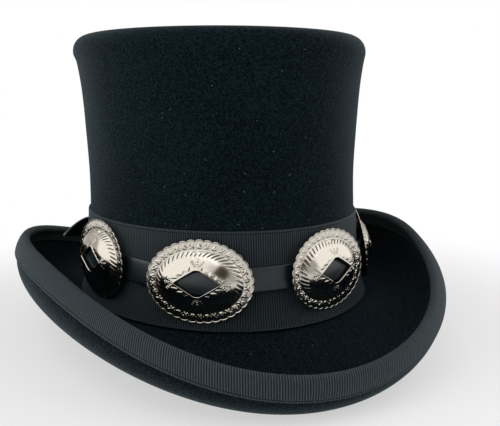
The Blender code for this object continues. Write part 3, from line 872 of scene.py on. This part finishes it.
# Stamped relief of a concho in mm, over its own plan in mm. turns is the share of the way round its edge
# from the bottom, clockwise. edgeGap is mm in from the scalloped edge, inward is mm in from the plain oval,
# and rimGap is mm out from the opening. Raised forms add to the height and struck ones take away.
def conchoRelief(x, y, turns, edgeGap, inward, rimGap):
    look = conchoLook
    lobe = turns * look["scallops"]
    number = np.round(lobe)
    side = (lobe - number) * look["lobeMm"]
    # raised lip that follows the scallops, and a line at the foot of the dome
    lip, lipAt, lipHalf = look["lip"]
    relief = 0 * x + lip * softLine(np.abs(edgeGap - lipAt), lipHalf)
    line, lineAt, lineHalf = look["footLine"]
    relief -= line * softLine(np.abs(inward - lineAt), lineHalf)
    # motifs in turn: a cross, and a heart whose point looks outwards, with a dot between two
    motif, motifAt = look["motifs"]
    middle = inward - motifAt
    arm, armHalf = look["cross"]
    cross = np.minimum(segmentGap(side, middle, (-arm, -arm), (arm, arm)),
                       segmentGap(side, middle, (-arm, arm), (arm, -arm)))
    lobeSide, lobeIn, lobeRadius = look["heartLobes"]
    lobes = np.hypot(np.abs(side) - lobeSide, middle - lobeIn) - lobeRadius
    slantSide, slantIn, point, top = look["heartSides"]
    wedge = np.maximum(np.abs(side) * slantSide - (middle + point) * slantIn, middle - top)
    hole, holeIn, holeRadius = look["heartDot"]
    heart = softLine(np.minimum(lobes, wedge), 0.0)
    heart -= hole * softLine(np.hypot(side, middle - holeIn), holeRadius)
    relief += motif * np.where(number % 2 == 0, softLine(cross, armHalf), heart)
    dot, dotRadius = look["dots"]
    relief += dot * softLine(np.hypot(np.abs(side) - look["lobeMm"] / 2, middle), dotRadius)
    # leaf-shaped flutes, slanted round the foot of the dome
    slantFrom, slantMm = look["fluteSlant"]
    leaf = np.abs(np.sin(math.pi * (turns * look["flutes"] + (inward - slantFrom) / slantMm)))
    relief -= look["fluteDepth"] * (1 - leaf ** look["fluteCurve"]) * inZone(inward, look["fluteZone"])
    # fans of ladder rays from the corners of the opening
    cornerX, cornerY = look["diamondWidth"] / 2 * mmInMetre, look["diamondHeight"] / 2 * mmInMetre
    half, widen = look["rayHalf"]
    steady, beat, rungMm = look["rungs"]
    for atX, atY, heading in ((cornerX, 0, 0), (0, cornerY, 90), (-cornerX, 0, 180), (0, -cornerY, 270)):
        for spread in look["raySpread"]:
            way = math.radians(heading + spread)
            along = (x - atX) * math.cos(way) + (y - atY) * math.sin(way)
            off = np.abs((y - atY) * math.cos(way) - (x - atX) * math.sin(way))
            ladder = softLine(off, half + widen * along) * inZone(along, look["rayZone"])
            relief += look["rayHeight"] * ladder * (steady + beat * np.cos(2 * math.pi * along / rungMm))
    # small triangles along the opening, points outwards, and a raised rim round it
    deep, count, long = look["teeth"]
    footFrom, foot, footWhole = look["toothFoot"]
    edgeX, edgeY = np.abs(x) / cornerX, np.abs(y) / cornerY
    slide = edgeX / np.maximum(edgeX + edgeY, 1e-6)
    tooth = np.abs((slide * count + 0.5) % 1.0 - 0.5)
    triangle = softLine(rimGap - foot - (0.5 - tooth) * long, 0.0, 0.3) * ramp(rimGap, footFrom, footWhole)
    relief -= deep * triangle * inZone(slide, look["toothShares"])
    rim, rimHalf = look["rim"]
    return relief + rim * softLine(rimGap, rimHalf)


# How far a value changes from one point to the next, over the mm between them, along one way of the grid
def slopeAlong(value, x, y, axis):
    step = np.hypot(np.gradient(x, axis=axis), np.gradient(y, axis=axis))
    return np.gradient(value, axis=axis) / np.maximum(step, conchoLook["leastStep"])


# Concho in its own plan, mm: rows run from the scalloped edge in to the opening, columns run clockwise
# from the bottom by equal lengths of the edge. Height = dome * (sine of the way in)^0.8 + the relief.
def conchoShape():
    look = conchoLook
    halfW, halfH = look["width"] / 2 * mmInMetre, look["height"] / 2 * mmInMetre
    fine = np.linspace(0, 2 * math.pi, look["fineSteps"] + 1)
    finePoints = np.stack([-halfW * np.sin(fine), -halfH * np.cos(fine)], -1)
    run = np.concatenate([[0], np.cumsum(np.linalg.norm(np.diff(finePoints, axis=0), axis=1))])
    columns = look["scallops"] * look["columnsAScallop"]
    turns = np.arange(columns) / columns
    spin = np.interp(turns * run[-1], run, fine)[None]
    turns = turns[None]
    edgeReach = np.hypot(halfW * np.sin(spin), halfH * np.cos(spin))
    lobe = np.abs(np.sin(math.pi * (turns * look["scallops"] + 0.5)))
    edgeGap = np.concatenate([look["lipRings"], np.arange(*look["borderRings"]),
                              np.arange(*look["domeRings"]), look["lastRings"]])[:, None]
    notch = look["scallopDepth"] * (1 - lobe ** look["scallopCurve"])
    notch = notch * ramp(edgeGap, look["scallopReach"], 0)
    share = 1 - (edgeGap + notch) / edgeReach
    x = -halfW * np.sin(spin) * share
    y = -halfH * np.cos(spin) * share
    # from there the rings pass over into the opening's outline, whose upper and lower tips are blunt
    heading = np.arctan2(y[-1], x[-1])
    cornerX, cornerY = look["diamondWidth"] / 2 * mmInMetre, look["diamondHeight"] / 2 * mmInMetre
    reach = 1 / (np.abs(np.cos(heading)) / cornerX + np.abs(np.sin(heading)) / cornerY)
    rimX, rimY = reach * np.cos(heading), reach * np.sin(heading)
    blunt = np.clip(np.abs(rimY) - (cornerY - look["bluntMm"]), 0, None)
    rimY = rimY - np.sign(rimY) * blunt * look["bluntShare"]
    blend = np.linspace(0, 1, look["openingRings"] + 1)[1:, None]
    edgeGap = np.concatenate([edgeGap, edgeGap[-1] + blend])
    x = np.concatenate([x, x[-1] * (1 - blend) + rimX * blend])
    y = np.concatenate([y, y[-1] * (1 - blend) + rimY * blend])
    size = np.hypot(x / halfW, y / halfH)
    bearing = np.arctan2(x / halfW, -y / halfH)
    inward = (1 - size) * np.hypot(halfW * np.sin(bearing), halfH * np.cos(bearing))
    rimGap = (np.abs(x) / cornerX + np.abs(y) / cornerY - 1) / math.hypot(1 / cornerX, 1 / cornerY)
    wayIn = ramp(inward, look["footMm"], look["footMm"] + look["domeSpan"])
    lift = (look["dome"] - look["metal"]) * mmInMetre * np.sin(math.pi / 2 * wayIn) ** look["domeCurve"]
    relief = conchoRelief(x, y, turns + 0 * x, edgeGap, inward, rimGap)
    face = lift + look["metal"] * mmInMetre - look["lip"][0] + relief
    front = np.stack([x, y, face], -1) / mmInMetre
    backLift = np.maximum(lift - look["backMm"], 0.0)
    back = np.stack([x, y, backLift], -1)[list(look["backRings"])] / mmInMetre
    grid = np.concatenate([front, back[::-1]])
    # antiquing stays in the hollows and at the foot of each struck form
    steep = np.hypot(slopeAlong(relief, x, y, 1), slopeAlong(relief, x, y, 0))
    steep = np.clip(steep - look["steepFrom"], 0, 1)
    hollow = ramp(-relief, *look["hollowZone"])
    patina = np.clip(look["steepShare"] * steep + look["hollowShare"] * hollow, 0, 1)
    return grid, np.concatenate([patina, np.full((len(back), columns), look["backPatina"])])


# Bar across the back of a concho: the eight corners and six faces of a block in its own plan
def conchoBar():
    look = conchoLook
    halfX = look["barWidth"] / 2
    halfY = look["height"] * look["barShare"] / 2 - look["barShort"]
    heights = (look["barHeight"], look["barHeight"] + look["barThickness"])
    signs = ((-1, -1), (1, -1), (1, 1), (-1, 1))
    corners = np.array([(signX * halfX, signY * halfY, z) for z in heights for signX, signY in signs])
    faces = np.array([(3, 2, 1, 0), (4, 5, 6, 7), (0, 1, 5, 4), (1, 2, 6, 5), (2, 3, 7, 6), (3, 0, 4, 7)])
    return corners, faces


# Conchos: the one shape set on the strap's frame at each place. It stands off along the face, then leans
# by turning face and rise: face cos - rise sin, rise cos + face sin.
def makeConchos():
    silver = makeNickelSilver()
    grid, patina = conchoShape()
    bar, barFaces = conchoBar()
    place, face, along, rise = strapFrame(conchoLengths)
    place = place + face * conchoStandoffs[:, None]
    cosine, sine = np.cos(conchoLeans)[:, None], np.sin(conchoLeans)[:, None]
    face, rise = face * cosine - rise * sine, rise * cosine + face * sine
    for i, start in enumerate(place):
        turned = np.stack([along[i], rise[i], face[i]])
        item = addSurface(f"concho{i + 1}", start + grid @ turned, silver, wrapRows=True, flip=True,
                          attributes={"patina": patina}, extra=(start + bar @ turned, barFaces[:, ::-1]))
        finishPiece(item, f"concho_{i + 1}")


makeStrap()
makeConchos()
print("strap and conchos made")

# Camera, as the photograph was taken: fitted to the outlines. Its height is from the crown's foot.
cameraView = {
    "azimuth": -15.992,
    "distance": 0.45663,
    "height": 0.12432,
    "yaw": -5.518,
    "pitch": -13.153,
    "roll": 0.224,
    "focalPixels": 722.566,
    "centre": (290.394, 259.066),
    "picture": (500, 426),
    "sensorMm": 36,
}


# Unit way from the hat towards an azimuth round it and a height above its level, both in degrees
def wayTo(azimuth, height):
    turn, up = math.radians(azimuth), math.radians(height)
    return Vector((math.sin(turn) * math.cos(up), -math.cos(turn) * math.cos(up), math.sin(up)))


# The camera looks back along its azimuth, turned by the yaw and the pitch, and is then rolled
def makeCamera():
    view = cameraView
    spot = wayTo(view["azimuth"], 0) * view["distance"]
    spot.z = view["height"] - floorUp
    ahead = -wayTo(view["azimuth"] + view["yaw"], -view["pitch"])
    right = ahead.cross(Vector((0, 0, 1))).normalized()
    up = right.cross(ahead)
    roll = math.radians(view["roll"])
    side = math.cos(roll) * right + math.sin(roll) * up
    top = -math.sin(roll) * right + math.cos(roll) * up
    data = bpy.data.cameras.new("camera")
    item = bpy.data.objects.new("camera", data)
    bpy.context.scene.collection.objects.link(item)
    item.matrix_world = Matrix.Translation(spot) @ Matrix((side, top, -ahead)).transposed().to_4x4()
    wide, high = view["picture"]
    data.sensor_width = view["sensorMm"]
    data.lens = view["focalPixels"] * view["sensorMm"] / wide
    data.shift_x = (wide / 2 - view["centre"][0]) / wide
    data.shift_y = (view["centre"][1] - high / 2) / wide
    data.clip_start = 0.01
    bpy.context.scene.camera = item


# Studio: a pale floor that fades into white, a broad window of soft light on each side and a weak one
# above
studio = {
    "white": "#ffffff",
    "floor": "#f6f6f5",
    "floorReach": 6.0,
    "floorDrop": 0.0002,   # keeps the paper just under the felt
    "floorGlow": 0.55,   # share of white that the paper gives back everywhere
    "floorFade": (0.16, 0.34),   # from the middle, where the floor turns into the white surround
    "seen": 1.0,   # surround as the camera sees it
    "mirrored": 0.70,   # surround as the metal mirrors it
    "mirroredTint": "#f3efe9",
    "viewer": (-20, 29),   # azimuth and height of the dark figure behind the camera, in the metal only
    "viewerEdge": (0.87, 0.975),   # cosines of the angles at which it fades in and is whole
    "viewerColour": "#5b5040",
    "ambient": 0.17,
    "aim": (0, 0, 0.08),
    "lights": (
        # name, azimuth, height in degrees, metres away, width, height, watts
        ("leftWindow", -82, 36, 1.7, 3.2, 2.6, 26),
        ("rightWindow", 74, 30, 1.7, 2.4, 1.9, 14),
        ("topFill", 10, 78, 1.6, 1.8, 1.8, 6),
    ),
}


# The floor near the hat is matt paper; farther out it passes over into the white of the surround
def makeFloor():
    look = studio
    material, tree, shader = startMaterial(
        "palePaperFloor", Roughness=0.85, Specular_IOR_Level=0.1, Base_Color=hexToLinear(look["floor"]))
    place = addNode(tree, "ShaderNodeTexCoord").outputs["Object"]
    away = addNode(tree, "ShaderNodeVectorMath", {0: place}, operation="LENGTH")
    fade = addNode(tree, "ShaderNodeMapRange", {
        "Value": away.outputs["Value"], "From Min": look["floorFade"][0], "From Max": look["floorFade"][1],
        "To Min": look["floorGlow"]}, interpolation_type="SMOOTHSTEP")
    glow = addNode(tree, "ShaderNodeEmission", {
        "Color": hexToLinear(look["white"]), "Strength": look["seen"]})
    both = addNode(tree, "ShaderNodeMixShader", {
        0: fade.outputs[0], 1: shader.outputs[0], 2: glow.outputs[0]})
    tree.links.new(both.outputs[0], tree.nodes["Material Output"].inputs["Surface"])
    mesh = bpy.data.meshes.new("floor")
    reach = look["floorReach"]
    corners = [(-reach, -reach, 0), (reach, -reach, 0), (reach, reach, 0), (-reach, reach, 0)]
    mesh.from_pydata(corners, [], [(0, 1, 2, 3)])
    mesh.materials.append(material)
    floor = bpy.data.objects.new("floor", mesh)
    floor.location.z = -look["floorDrop"]
    bpy.context.scene.collection.objects.link(floor)


# The surround is white to the camera, pale with a dark figure in the metal, and dim as a light of its own.
# The figure is where the dot product of the ray and the way to it passes from its edge to its whole.
def makeSurround():
    look = studio
    world = bpy.data.worlds.new("studio")
    world.use_nodes = True
    tree = world.node_tree
    white = hexToLinear(look["white"])
    path = addNode(tree, "ShaderNodeLightPath")
    dim = tree.nodes["Background"]
    dim.inputs["Color"].default_value = white
    dim.inputs["Strength"].default_value = look["ambient"]
    ray = addNode(tree, "ShaderNodeTexCoord").outputs["Generated"]
    near = addNode(tree, "ShaderNodeVectorMath", {
        0: ray, 1: wayTo(*look["viewer"])}, operation="DOT_PRODUCT")
    figure = addNode(tree, "ShaderNodeMapRange", {
        "Value": near.outputs["Value"], "From Min": look["viewerEdge"][0],
        "From Max": look["viewerEdge"][1]}, interpolation_type="SMOOTHSTEP")
    room = addNode(tree, "ShaderNodeMix", {
        "Factor": figure.outputs[0], mixA: hexToLinear(look["mirroredTint"]),
        mixB: hexToLinear(look["viewerColour"])}, data_type="RGBA")
    mirrored = addNode(tree, "ShaderNodeBackground", {
        "Color": room.outputs[mixOut], "Strength": look["mirrored"]})
    seen = addNode(tree, "ShaderNodeBackground", {"Color": white, "Strength": look["seen"]})
    glossy = addNode(tree, "ShaderNodeMixShader", {
        0: path.outputs["Is Glossy Ray"], 1: dim.outputs[0], 2: mirrored.outputs[0]})
    both = addNode(tree, "ShaderNodeMixShader", {
        0: path.outputs["Is Camera Ray"], 1: glossy.outputs[0], 2: seen.outputs[0]})
    tree.links.new(both.outputs[0], tree.nodes["World Output"].inputs["Surface"])
    bpy.context.scene.world = world


# Lights: broad rectangles, each at its distance along its way from the aim, turned back to it
def makeLights():
    aim = Vector(studio["aim"])
    for name, azimuth, height, away, wide, high, watts in studio["lights"]:
        light = bpy.data.lights.new(name, "AREA")
        light.shape = "RECTANGLE"
        light.size = wide
        light.size_y = high
        light.energy = watts
        item = bpy.data.objects.new(name, light)
        way = wayTo(azimuth, height)
        item.location = aim + way * away
        item.rotation_euler = way.to_track_quat("Z", "Y").to_euler()
        bpy.context.scene.collection.objects.link(item)
    bpy.context.scene.view_settings.view_transform = "Standard"


makeCamera()
makeFloor()
makeSurround()
makeLights()
print("camera and studio made")
